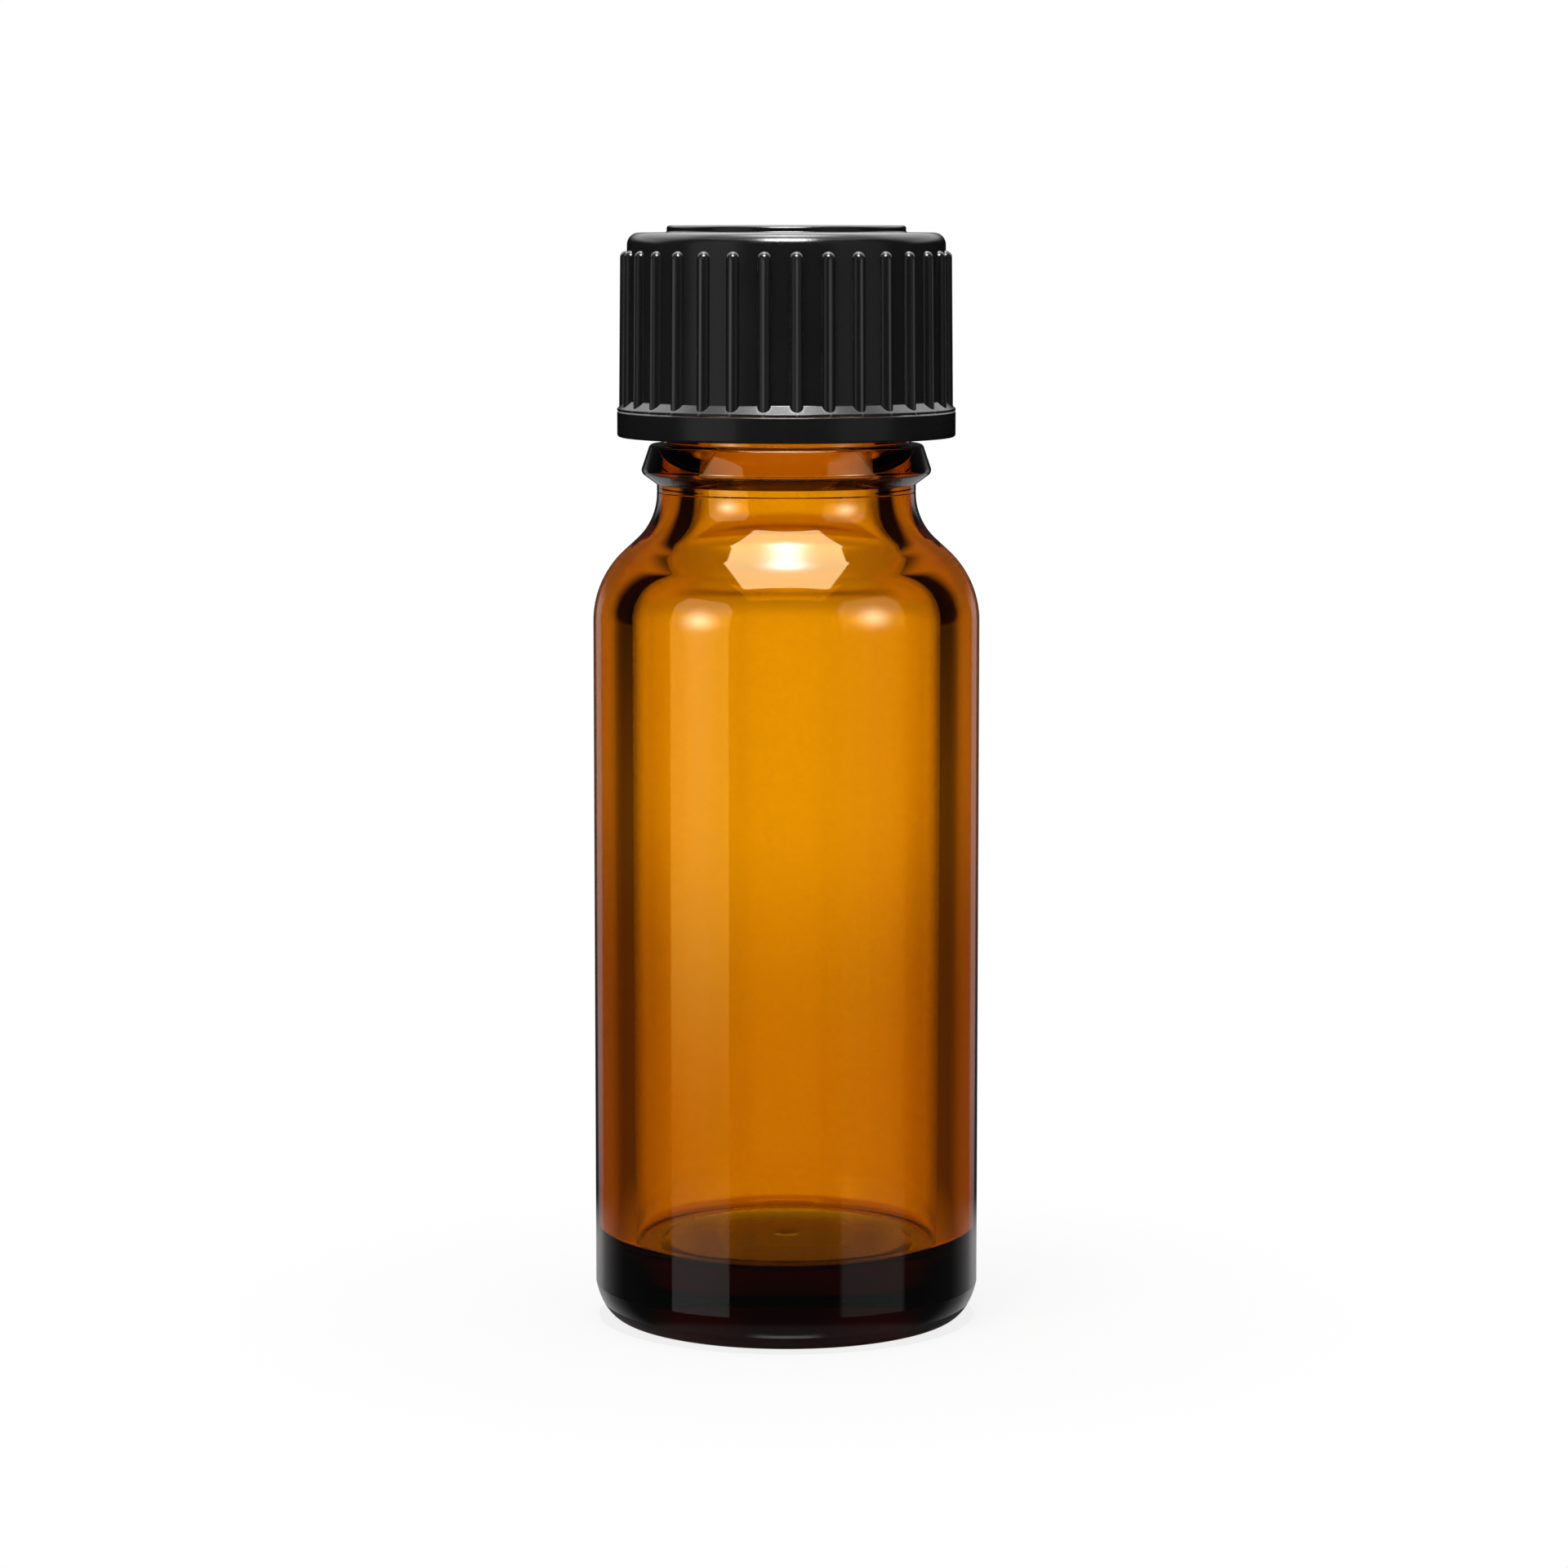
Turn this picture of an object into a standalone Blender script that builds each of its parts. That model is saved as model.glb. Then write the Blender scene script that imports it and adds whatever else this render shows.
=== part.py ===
"""Amber glass apothecary bottle with a dropper insert and a ribbed, tamper-evident screw cap.

Metres, +Z up. The origin is the centre of the circle that the bottle stands on.
All four pieces are turned about the Z axis, which is also the axis of the screw thread.
"""

from math import atan2, cos, pi, radians, sin, sqrt, tan

import bmesh
import bpy
from mathutils import Matrix, Vector

# Glass body
BODY_RADIUS = 0.0130
BODY_WALL = 0.0026
BODY_TOP = 0.0475  # height where the straight side ends
SHOULDER_RADIUS = 0.0064
NECK_FILLET = 0.0046

# Glass base
HEEL_HEIGHT = 0.0024
HEEL_START = radians(20)  # angle of the heel's curve at the edge line round the body
FOOT_RADIUS = 0.0105
FOOT_WIDTH = 0.0017
PUSH_UP = 0.0009
FLOOR_HEIGHT = 0.0052
FLOOR_CROWN = 0.0003
FLOOR_CORNER = 0.0024

# Glass neck and the ring below the closure
BORE_RADIUS = 0.0060
NECK_WALL = 0.0027
NECK_STRAIGHT = 0.00046
RING_PROUD = 0.0011
RING_HEIGHT = 0.00266
RING_TAPER = 0.00063
RING_UNDERCUT = 0.00037

# Glass finish: groove, locking bead and thread
FINISH_WALL = 0.00175
FINISH_HEIGHT = 0.01161
GROOVE_WALL = 0.00236
GROOVE_HEIGHT = 0.00136
BEAD_PROUD = 0.0004
BEAD_HEIGHT = 0.0018
BEAD_SLOPE = 0.0003
RIM_ROUND = 0.0006

# Thread, the same pitch on the glass and in the cap
THREAD_PITCH = 0.0030
THREAD_DEPTH = 0.0011
THREAD_CREST = 0.0007
THREAD_FLANK = radians(20)
THREAD_TURNS = 1.5
THREAD_DROP = 0.0021  # rim to the middle of the ridge's upper end
THREAD_RUNOUT = radians(35)
THREAD_CLEARANCE = 0.0003  # radial, crest to root
THREAD_SEAT_GAP = 0.00015  # between the flanks that bear when the cap is tight

# Dropper insert
FLANGE_THICKNESS = 0.0008
FLANGE_OVERHANG = 0.0012
INSERT_FIT = 0.0001
INSERT_WALL = 0.0008
INSERT_DEPTH = 0.0075
CUP_DEPTH = 0.0024
NOZZLE_RADIUS = 0.0017
NOZZLE_BORE = 0.0006
AIR_TUBE_RADIUS = 0.0009
AIR_TUBE_BORE = 0.0004
AIR_TUBE_LENGTH = 0.0060
AIR_TUBE_OFFSET = 0.0033

# Screw cap
CAP_WALL = 0.00115
CAP_DRAFT = 0.0001
CAP_TOP = 0.00132
CROWN_ROUND = 0.0007
DISC_RADIUS = 0.0080
DISC_HEIGHT = 0.00047
LEDGE_PROUD = 0.0006
LEDGE_RISE = 0.00053
LEDGE_LAND = 0.00015
SEAL_RING_WALL = 0.00065
SEAL_RING_DEPTH = 0.0016
SEAL_RING_CLEARANCE = 0.00025
RIB_COUNT = 32
RIB_RADIUS = 0.00045
RIB_PROUD = 0.00047
RIB_DROP = 0.0012  # top of the crown to the top of a rib
RIB_PHASE = radians(-86.8)

# Tamper band
BAND_HEIGHT = 0.00155
BAND_FLOAT = 0.00053  # above the neck ring
BAND_CLEARANCE = 0.00025  # round the locking bead
LIP_CLEARANCE = 0.0003  # under the bead and round the groove
SLIT = 0.0002
BRIDGE_COUNT = 10
BRIDGE_WIDTH = 0.0007
BRIDGE_DEPTH = 0.0006
BRIDGE_HEIGHT = 0.0001

SEAT_GAP = 0.0002  # at each face of the insert's flange
GLASS_STEPS = 40
CAP_STEPS = 2 * RIB_COUNT
INSERT_STEPS = 24
RIB_STEPS = 8
ARC_STEPS = 2
MERGE = 1e-6

# Radii that the pieces share
neck_radius = BORE_RADIUS + NECK_WALL
groove_radius = BORE_RADIUS + GROOVE_WALL
root_radius = BORE_RADIUS + FINISH_WALL
crest_radius = root_radius + THREAD_DEPTH
bead_radius = crest_radius + BEAD_PROUD
cap_bore = crest_radius + THREAD_CLEARANCE
foot_bore = bead_radius + BAND_CLEARANCE
cap_radius = foot_bore + CAP_WALL
band_radius = cap_radius + CAP_DRAFT + LEDGE_PROUD


def arc(centre, radii, start, end, steps):
    """Points (radius, height) along part of an ellipse, both ends included."""
    turn = (end - start) / steps
    angles = [start + turn * index for index in range(steps + 1)]
    return [(centre[0] + radii[0] * cos(angle), centre[1] + radii[1] * sin(angle)) for angle in angles]


def rounded(corners, steps=ARC_STEPS):
    """An outline through corners (radius, height, rounding), each rounded by an arc."""
    points = [corners[0][:2]]
    for before, corner, after in zip(corners, corners[1:], corners[2:]):
        here = Vector(corner[:2])
        back = Vector(before[:2]) - here
        ahead = Vector(after[:2]) - here
        half = back.angle(ahead) / 2
        reach = min(corner[2] / tan(half), back.length / 2, ahead.length / 2)
        if reach < MERGE:
            points.append(corner[:2])
            continue
        middle = here + (back.normalized() + ahead.normalized()).normalized() * reach / cos(half)
        first = here + back.normalized() * reach - middle
        last = here + ahead.normalized() * reach - middle
        swing = first.angle_signed(last)
        for index in range(steps + 1):
            spoke = first.copy()
            spoke.rotate(Matrix.Rotation(-swing * index / steps, 2))
            points.append(tuple(middle + spoke))
    return points + [corners[-1][:2]]


def neck_height(body_radius, neck, shoulder, fillet):
    """Height of the fillet's upper end, where the neck starts, and the slope at which the arcs meet."""
    across = (neck + fillet) - (body_radius - shoulder)
    rise = sqrt((shoulder + fillet) ** 2 - across**2)
    return BODY_TOP + rise, atan2(rise, across)


def shoulder_outline(body_radius, neck, shoulder, fillet, steps=5):
    """Two arcs that touch, from the body's side up to the neck."""
    top, slope = neck_height(body_radius, neck, shoulder, fillet)
    lower = arc((body_radius - shoulder, BODY_TOP), (shoulder, shoulder), 0, slope, steps)
    upper = arc((neck + fillet, top), (fillet, fillet), pi + slope, pi, steps)
    return lower + upper[1:]


# Heights that the pieces share
neck_foot = neck_height(BODY_RADIUS, neck_radius, SHOULDER_RADIUS, NECK_FILLET)[0]
ring_foot = neck_foot + NECK_STRAIGHT
ring_top = ring_foot + RING_HEIGHT
bead_foot = ring_top + GROOVE_HEIGHT
bead_top = bead_foot + BEAD_HEIGHT
rim = ring_top + FINISH_HEIGHT
flange_foot = rim + SEAT_GAP
flange_top = flange_foot + FLANGE_THICKNESS
cap_underside = flange_top + SEAT_GAP
crown_top = cap_underside + CAP_TOP
band_foot = ring_top + BAND_FLOAT
band_top = band_foot + BAND_HEIGHT
cap_foot = band_top + SLIT


def surface(name, colour, roughness, transmission=0.0):
    """A plain material for one piece."""
    made = bpy.data.materials.new(name)
    made.use_nodes = True
    shader = made.node_tree.nodes["Principled BSDF"]
    shader.inputs["Base Color"].default_value = (*colour, 1)
    shader.inputs["Roughness"].default_value = roughness
    shader.inputs["Metallic"].default_value = 0
    shader.inputs["Transmission Weight"].default_value = transmission
    made.diffuse_color = (*colour, 1)
    return made


def add_object(name, bm):
    """A new object from a bmesh, with its faces pointing out."""
    bmesh.ops.remove_doubles(bm, verts=bm.verts, dist=MERGE)
    bmesh.ops.recalc_face_normals(bm, faces=bm.faces)
    mesh = bpy.data.meshes.new(name)
    bm.to_mesh(mesh)
    bm.free()
    made = bpy.data.objects.new(name, mesh)
    bpy.context.collection.objects.link(made)
    return made


def turn_outline(bm, outline, steps, closed=False):
    """Spin an outline of (radius, height) points once round the Z axis."""
    verts = [bm.verts.new((radius, 0, height)) for radius, height in outline]
    ends = zip(verts, verts[1:] + verts[:1]) if closed else zip(verts, verts[1:])
    edges = [bm.edges.new(pair) for pair in ends]
    bmesh.ops.spin(
        bm, geom=verts + edges, cent=(0, 0, 0), axis=(0, 0, 1), angle=2 * pi, steps=steps, use_merge=True
    )


def turned(name, outline, steps, closed=False):
    """A piece turned about the Z axis."""
    bm = bmesh.new()
    turn_outline(bm, outline, steps, closed)
    return add_object(name, bm)


def combine(piece, tool, operation):
    """Join a shape to a piece, or cut it away, and leave no helper behind."""
    tool.hide_render = True
    tool.display_type = "WIRE"
    boolean = piece.modifiers.new(operation.title(), "BOOLEAN")
    boolean.solver = "EXACT"
    boolean.operation = operation
    boolean.object = tool
    graph = bpy.context.evaluated_depsgraph_get()
    mesh = bpy.data.meshes.new_from_object(piece.evaluated_get(graph))
    piece.modifiers.clear()
    piece.data = mesh
    bpy.data.objects.remove(tool)


def finish(piece, material):
    """Give a piece its material and smooth shading that keeps its edges."""
    piece.data.name = piece.name
    piece.data.materials.clear()
    piece.data.materials.append(material)
    piece.data.shade_smooth()
    piece.data.set_sharp_from_angle(angle=radians(35))


def thread_ridge(name, wall, crest, crest_width, start_height, start_angle, steps):
    """A helical ridge that stands on a wall and runs out at both ends, its root sunk into the wall.

    The crest lies outside the wall on a bottle and inside it in a cap.
    """
    sink = THREAD_DEPTH / 3 * (1 if crest > wall else -1)
    total = 2 * pi * THREAD_TURNS
    count = round(steps * THREAD_TURNS)
    bm = bmesh.new()
    rows = []
    for index in range(count + 1):
        along = total * index / count
        share = min(1, along / THREAD_RUNOUT, (total - along) / THREAD_RUNOUT)
        tip = wall - sink / 2 + (crest - wall + sink / 2) * share
        root = wall - sink
        half_tip = crest_width / 2
        half_root = half_tip + abs(tip - root) * tan(THREAD_FLANK)
        middle = start_height + THREAD_PITCH * along / (2 * pi)
        corners = [(root, -half_root), (tip, -half_tip), (tip, half_tip), (root, half_root)]
        angle = start_angle + along
        rows.append(
            [bm.verts.new((radius * cos(angle), radius * sin(angle), middle + z)) for radius, z in corners]
        )
    for lower, upper in zip(rows, rows[1:]):
        for side in range(4):
            bm.faces.new((lower[side - 1], lower[side], upper[side], upper[side - 1]))
    bm.faces.new(rows[0])
    bm.faces.new(rows[-1])
    return add_object(name, bm)


def glass_bottle():
    """The moulded bottle, hollow, with its foot, shoulder, neck ring, locking bead and thread."""
    foot_inner = FOOT_RADIUS - FOOT_WIDTH
    dome = [(foot_inner * share, PUSH_UP * (1 - share**2)) for share in (0, 0.35, 0.7, 1)]
    heel_height = HEEL_HEIGHT / (1 - sin(HEEL_START))
    heel_width = (BODY_RADIUS - FOOT_RADIUS) / cos(HEEL_START)
    heel = arc((FOOT_RADIUS, heel_height), (heel_width, heel_height), -pi / 2, -HEEL_START, 5)
    outside = shoulder_outline(BODY_RADIUS, neck_radius, SHOULDER_RADIUS, NECK_FILLET)
    finish_corners = rounded(
        [
            outside[-1],
            (neck_radius, ring_foot, 0.00012),
            (neck_radius + RING_PROUD, ring_foot + RING_UNDERCUT, 0.0005),
            (neck_radius + RING_PROUD - RING_TAPER, ring_top, 0.00028),
            (groove_radius, ring_top + RING_UNDERCUT / 3, 0.00012),
            (groove_radius, bead_foot, 0.00015),
            (bead_radius, bead_foot + BEAD_SLOPE, 0.00025),
            (bead_radius, bead_top - (bead_radius - root_radius) / 2, 0.00025),
            (root_radius, bead_top, 0.0002),
            (root_radius, rim, RIM_ROUND),
            (BORE_RADIUS, rim, RIM_ROUND),
            (BORE_RADIUS, rim - 2 * RIM_ROUND),
        ]
    )
    body_bore = BODY_RADIUS - BODY_WALL
    inside = shoulder_outline(
        body_bore, BORE_RADIUS, SHOULDER_RADIUS - BODY_WALL, NECK_FILLET + BODY_WALL
    )
    floor = rounded(
        [(body_bore, BODY_TOP, 0), (body_bore, FLOOR_HEIGHT, FLOOR_CORNER), (0, FLOOR_HEIGHT + FLOOR_CROWN)],
        steps=4,
    )
    outline = dome + heel + outside + finish_corners[1:] + inside[::-1] + floor[1:]
    bottle = turned("glass_bottle", outline, GLASS_STEPS)
    lower_end = rim - THREAD_DROP - THREAD_TURNS * THREAD_PITCH
    ridge = thread_ridge(
        "glass_thread", root_radius, crest_radius, THREAD_CREST, lower_end, 0, GLASS_STEPS
    )
    combine(bottle, ridge, "UNION")
    finish(bottle, surface("amber_glass", (0.62, 0.24, 0.01), 0.03, transmission=1.0))
    return bottle


def dropper_insert():
    """The push-in dropper: a flange on the rim, a stem in the bore, a nozzle and an air tube."""
    stem_radius = BORE_RADIUS - INSERT_FIT
    stem_bore = stem_radius - INSERT_WALL
    floor_top = flange_top - CUP_DEPTH
    floor_foot = floor_top - INSERT_WALL
    stem_foot = rim - INSERT_DEPTH
    outline = rounded(
        [
            (NOZZLE_BORE, floor_foot, 0),
            (NOZZLE_BORE, flange_top, 0.0002),
            (NOZZLE_RADIUS, flange_top, 0.0003),
            (NOZZLE_RADIUS, floor_top, 0.0003),
            (stem_bore, floor_top, 0.0003),
            (stem_bore, flange_top, 0.0002),
            (BORE_RADIUS + FLANGE_OVERHANG, flange_top, 0.0002),
            (BORE_RADIUS + FLANGE_OVERHANG, flange_foot, 0),
            (stem_radius - RIM_ROUND / 2, flange_foot, 0),
            (stem_radius - RIM_ROUND / 2, rim - RIM_ROUND, 0),
            (stem_radius, rim - 2 * RIM_ROUND, 0),
            (stem_radius, stem_foot + INSERT_WALL, 0),
            (stem_radius - INSERT_WALL / 2, stem_foot, 0),
            (stem_bore, stem_foot, 0),
            (stem_bore, floor_foot, 0),
        ]
    )
    insert = turned("dropper_insert", outline, INSERT_STEPS, closed=True)
    tube = round_rod("air_tube", AIR_TUBE_RADIUS, floor_foot - AIR_TUBE_LENGTH, floor_top - INSERT_WALL / 2)
    combine(insert, tube, "UNION")
    hole = round_rod("air_hole", AIR_TUBE_BORE, floor_foot - 2 * AIR_TUBE_LENGTH, flange_top)
    combine(insert, hole, "DIFFERENCE")
    finish(insert, surface("natural_polyethylene", (0.82, 0.83, 0.80), 0.4))
    return insert


def round_rod(name, radius, foot, top):
    """An upright rod where the insert's air tube stands."""
    bm = bmesh.new()
    place = Matrix.Translation((AIR_TUBE_OFFSET, 0, (foot + top) / 2))
    bmesh.ops.create_cone(
        bm, cap_ends=True, segments=12, radius1=radius, radius2=radius, depth=top - foot, matrix=place
    )
    return add_object(name, bm)


def grip_ribs():
    """All the upright ribs of the cap as one shape, each with a round top and its foot in the ledge."""
    top = crown_top - RIB_DROP
    foot = cap_foot + LEDGE_LAND / 2
    middle = cap_radius + RIB_PROUD - RIB_RADIUS
    dome = arc((0, top - RIB_RADIUS), (RIB_RADIUS, RIB_RADIUS), 0, pi / 2, 3)
    outline = [(0, foot), (RIB_RADIUS, foot)] + dome
    bm = bmesh.new()
    for index in range(RIB_COUNT):
        before = set(bm.verts)
        turn_outline(bm, outline, RIB_STEPS)
        verts = [vert for vert in bm.verts if vert not in before]
        for vert in verts:
            lean = CAP_DRAFT * (top - vert.co.z) / (top - foot)
            vert.co.x += middle + lean
        turn = Matrix.Rotation(RIB_PHASE + 2 * pi * index / RIB_COUNT, 3, "Z")
        bmesh.ops.rotate(bm, verts=verts, cent=(0, 0, 0), matrix=turn)
    return add_object("grip_ribs", bm)


def screw_cap():
    """The cap: crown with a raised disc, ribbed skirt, ledge, thread and the ring that seals the nozzle."""
    counterbore_top = bead_top + LIP_CLEARANCE
    thread_foot = counterbore_top + (foot_bore - cap_bore)
    seal_bore = NOZZLE_RADIUS + SEAL_RING_CLEARANCE
    seal_foot = cap_underside - SEAL_RING_DEPTH
    outline = rounded(
        [
            (0, crown_top + DISC_HEIGHT, 0),
            (DISC_RADIUS, crown_top + DISC_HEIGHT, 0.0002),
            (DISC_RADIUS, crown_top, 0.0001),
            (cap_radius, crown_top, CROWN_ROUND),
            (cap_radius + CAP_DRAFT, cap_foot + LEDGE_LAND + LEDGE_RISE, 0),
            (band_radius, cap_foot + LEDGE_LAND, 0),
            (band_radius, cap_foot, 0),
            (foot_bore, cap_foot, 0),
            (foot_bore, counterbore_top, 0),
            (cap_bore, thread_foot, 0),
            (cap_bore, cap_underside, 0.0004),
            (seal_bore + SEAL_RING_WALL, cap_underside, 0),
            (seal_bore + SEAL_RING_WALL, seal_foot, 0.0001),
            (seal_bore, seal_foot, 0.0002),
            (seal_bore, cap_underside, 0),
            (0, cap_underside, 0),
        ]
    )
    cap = turned("screw_cap", outline, CAP_STEPS)
    combine(cap, grip_ribs(), "UNION")
    crest = root_radius + THREAD_CLEARANCE
    flanks = (crest_radius - crest) * tan(THREAD_FLANK)
    below = THREAD_CREST + flanks + THREAD_SEAT_GAP
    start_height = thread_foot + THREAD_CREST / 2 + THREAD_DEPTH * tan(THREAD_FLANK)
    glass_start = rim - THREAD_DROP - THREAD_TURNS * THREAD_PITCH
    start_angle = 2 * pi * (start_height + below - glass_start) / THREAD_PITCH
    ridge = thread_ridge("cap_thread", cap_bore, crest, THREAD_CREST, start_height, start_angle, GLASS_STEPS)
    combine(cap, ridge, "UNION")
    finish(cap, surface("black_polypropylene", (0.012, 0.012, 0.013), 0.28))
    return cap


def tamper_band():
    """The loose band below the cap, with the lip that catches the bead and the stubs of its bridges."""
    lip_top = bead_foot - LIP_CLEARANCE
    lip_radius = groove_radius + LIP_CLEARANCE
    outline = rounded(
        [
            (foot_bore, band_top, 0),
            (band_radius, band_top, 0.00005),
            (band_radius, band_foot, 0.0002),
            (lip_radius + LIP_CLEARANCE, band_foot, 0),
            (lip_radius, (band_foot + lip_top) / 2, 0),
            (lip_radius, lip_top, 0),
            (foot_bore, lip_top + BEAD_SLOPE, 0),
        ]
    )
    band = turned("tamper_band", outline, GLASS_STEPS, closed=True)
    bm = bmesh.new()
    middle = (foot_bore + band_radius) / 2
    height = 2 * BRIDGE_HEIGHT
    for index in range(BRIDGE_COUNT):
        turn = Matrix.Rotation(2 * pi * index / BRIDGE_COUNT, 4, "Z")
        place = Matrix.Translation((middle, 0, band_top))
        size = Matrix.Diagonal((BRIDGE_DEPTH, BRIDGE_WIDTH, height, 1))
        bmesh.ops.create_cube(bm, size=1, matrix=turn @ place @ size)
    combine(band, add_object("bridges", bm), "UNION")
    finish(band, surface("black_band_polypropylene", (0.016, 0.016, 0.017), 0.4))
    return band


def main():
    for item in list(bpy.data.objects):
        bpy.data.objects.remove(item)
    glass_bottle()
    dropper_insert()
    tamper_band()
    screw_cap()


main()
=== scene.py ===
from math import asin, atan2, ceil, cos, pi, radians, sin, tan

import bmesh
import bpy
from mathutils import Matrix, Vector


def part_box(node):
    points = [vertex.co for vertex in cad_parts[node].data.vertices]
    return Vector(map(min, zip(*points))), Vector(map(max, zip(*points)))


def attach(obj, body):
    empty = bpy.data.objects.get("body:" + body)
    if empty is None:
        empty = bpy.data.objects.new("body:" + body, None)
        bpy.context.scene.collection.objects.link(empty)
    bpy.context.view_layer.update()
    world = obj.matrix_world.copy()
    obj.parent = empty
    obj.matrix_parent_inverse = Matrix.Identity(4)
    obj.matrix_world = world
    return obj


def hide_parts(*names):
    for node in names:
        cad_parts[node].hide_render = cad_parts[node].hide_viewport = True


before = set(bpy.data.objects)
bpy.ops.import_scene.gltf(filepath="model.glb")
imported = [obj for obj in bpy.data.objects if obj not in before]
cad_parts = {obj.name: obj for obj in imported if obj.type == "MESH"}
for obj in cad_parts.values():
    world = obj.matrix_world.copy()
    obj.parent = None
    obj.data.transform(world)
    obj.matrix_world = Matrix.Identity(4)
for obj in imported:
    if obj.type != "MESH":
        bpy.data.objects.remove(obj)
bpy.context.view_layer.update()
print("frame loaded with", len(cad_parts), "solids")

# All outlines are drawn in millimetres as (radius, height), at +X, and turned round Z.
# A third number at a point is the radius that its corner is rounded with
mm = 0.001
tiny = 0.002  # millimetres within which two places count as one
creaseAngle = 30  # degrees past which an edge stays sharp
roundStep = 9  # degrees that a segment of a rounded corner turns
edgeShare = 0.495  # most that a rounded corner takes of the edge beside it


def span(solid):
    # Radius, foot and top of a solid of the frame
    low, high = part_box(solid)
    return high[0] / mm, low[2] / mm, high[2] / mm


def activate(piece):
    bpy.ops.object.select_all(action="DESELECT")
    piece.select_set(True)
    bpy.context.view_layer.objects.active = piece


def openMesh(piece):
    activate(piece)
    bpy.ops.object.mode_set(mode="EDIT")
    bpy.ops.mesh.select_all(action="DESELECT")


def closeMesh():
    bpy.ops.object.mode_set(mode="OBJECT")


def pick(piece, wanted, kind="VERT"):
    # Selects what wanted() accepts, and nothing else
    bpy.ops.mesh.select_mode(type=kind)
    bpy.ops.mesh.select_all(action="DESELECT")
    mesh = bmesh.from_edit_mesh(piece.data)
    items = {"VERT": mesh.verts, "EDGE": mesh.edges, "FACE": mesh.faces}[kind]
    for item in items:
        if wanted(item):
            item.select_set(True)
    bmesh.update_edit_mesh(piece.data)


def curve(centre, radii, start, end, steps):
    # Points along part of an ellipse, from start to end in degrees
    angles = [radians(start + (end - start) * step / steps) for step in range(steps + 1)]
    return [(centre[0] + radii[0] * cos(angle), centre[1] + radii[1] * sin(angle)) for angle in angles]


def roundCorner(piece, before, corner, after):
    # Rounds one corner of a drawn outline by its third number
    here = Vector(corner[:2])
    back = Vector(before[:2]) - here
    ahead = Vector(after[:2]) - here
    opening = back.angle(ahead)
    reach = min(corner[2] / tan(opening / 2), edgeShare * back.length, edgeShare * ahead.length)
    place = Vector((here.x * mm, 0, here.y * mm))
    pick(piece, lambda vert: (vert.co - place).length < tiny * mm)
    segments = max(2, ceil((pi - opening) / radians(roundStep)))
    bpy.ops.mesh.bevel(offset=reach * mm, segments=segments, affect="VERTICES")


def drawOutline(name, points, closed=False):
    # A plane merged to one vertex is the pen, and each extrude draws a stretch
    bpy.ops.object.select_all(action="DESELECT")
    bpy.ops.mesh.primitive_plane_add(size=mm, location=(points[0][0] * mm, 0, points[0][1] * mm))
    piece = bpy.context.object
    piece.name = piece.data.name = name
    bpy.ops.object.transform_apply(location=True, rotation=False, scale=False)
    bpy.ops.object.mode_set(mode="EDIT")
    bpy.ops.mesh.select_mode(type="VERT")
    bpy.ops.mesh.merge(type="CENTER")
    path = points + points[:1] if closed else points
    for before, after in zip(path, path[1:]):
        step = ((after[0] - before[0]) * mm, 0, (after[1] - before[1]) * mm)
        bpy.ops.mesh.extrude_region_move(TRANSFORM_OT_translate={"value": step})
    bpy.ops.mesh.select_all(action="SELECT")
    bpy.ops.mesh.remove_doubles(threshold=tiny * mm / 4)
    for index, corner in enumerate(points):
        if len(corner) == 3:
            roundCorner(piece, points[index - 1], corner, points[(index + 1) % len(points)])
    return piece


def turn(piece, steps):
    bpy.ops.mesh.select_all(action="SELECT")
    bpy.ops.mesh.spin(steps=steps, angle=2 * pi, center=(0, 0, 0), axis=(0, 0, 1), use_auto_merge=True)
    bpy.ops.mesh.select_all(action="SELECT")
    bpy.ops.mesh.remove_doubles(threshold=tiny * mm / 4)
    bpy.ops.mesh.normals_make_consistent(inside=False)
    closeMesh()


def combine(piece, tool, how):
    activate(piece)
    change = piece.modifiers.new("combine", "BOOLEAN")
    change.operation = how
    change.object = tool
    bpy.ops.object.modifier_apply(modifier=change.name)
    bpy.data.objects.remove(tool)


def smooth(piece):
    activate(piece)
    bpy.ops.object.shade_smooth_by_angle(angle=radians(creaseAngle))


def dress(piece, body, node, material):
    # Hands a finished piece over: what it rides on, what it stands for, and its material
    piece.data.materials.clear()
    piece.data.materials.append(material)
    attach(piece, body)
    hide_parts(node)
    print(piece.name, "done with", len(piece.data.polygons), "faces")


# Thread shared by the glass and the cap
thread = {
    "pitch": 3.0,
    "crestWidth": 0.7,
    "flank": 20,  # degrees that each side leans
    "turns": 1.5,
    "crestRound": 0.15,
    "runout": 35,  # degrees over which each end fades
    "stepsPerTurn": 120,
}


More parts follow.
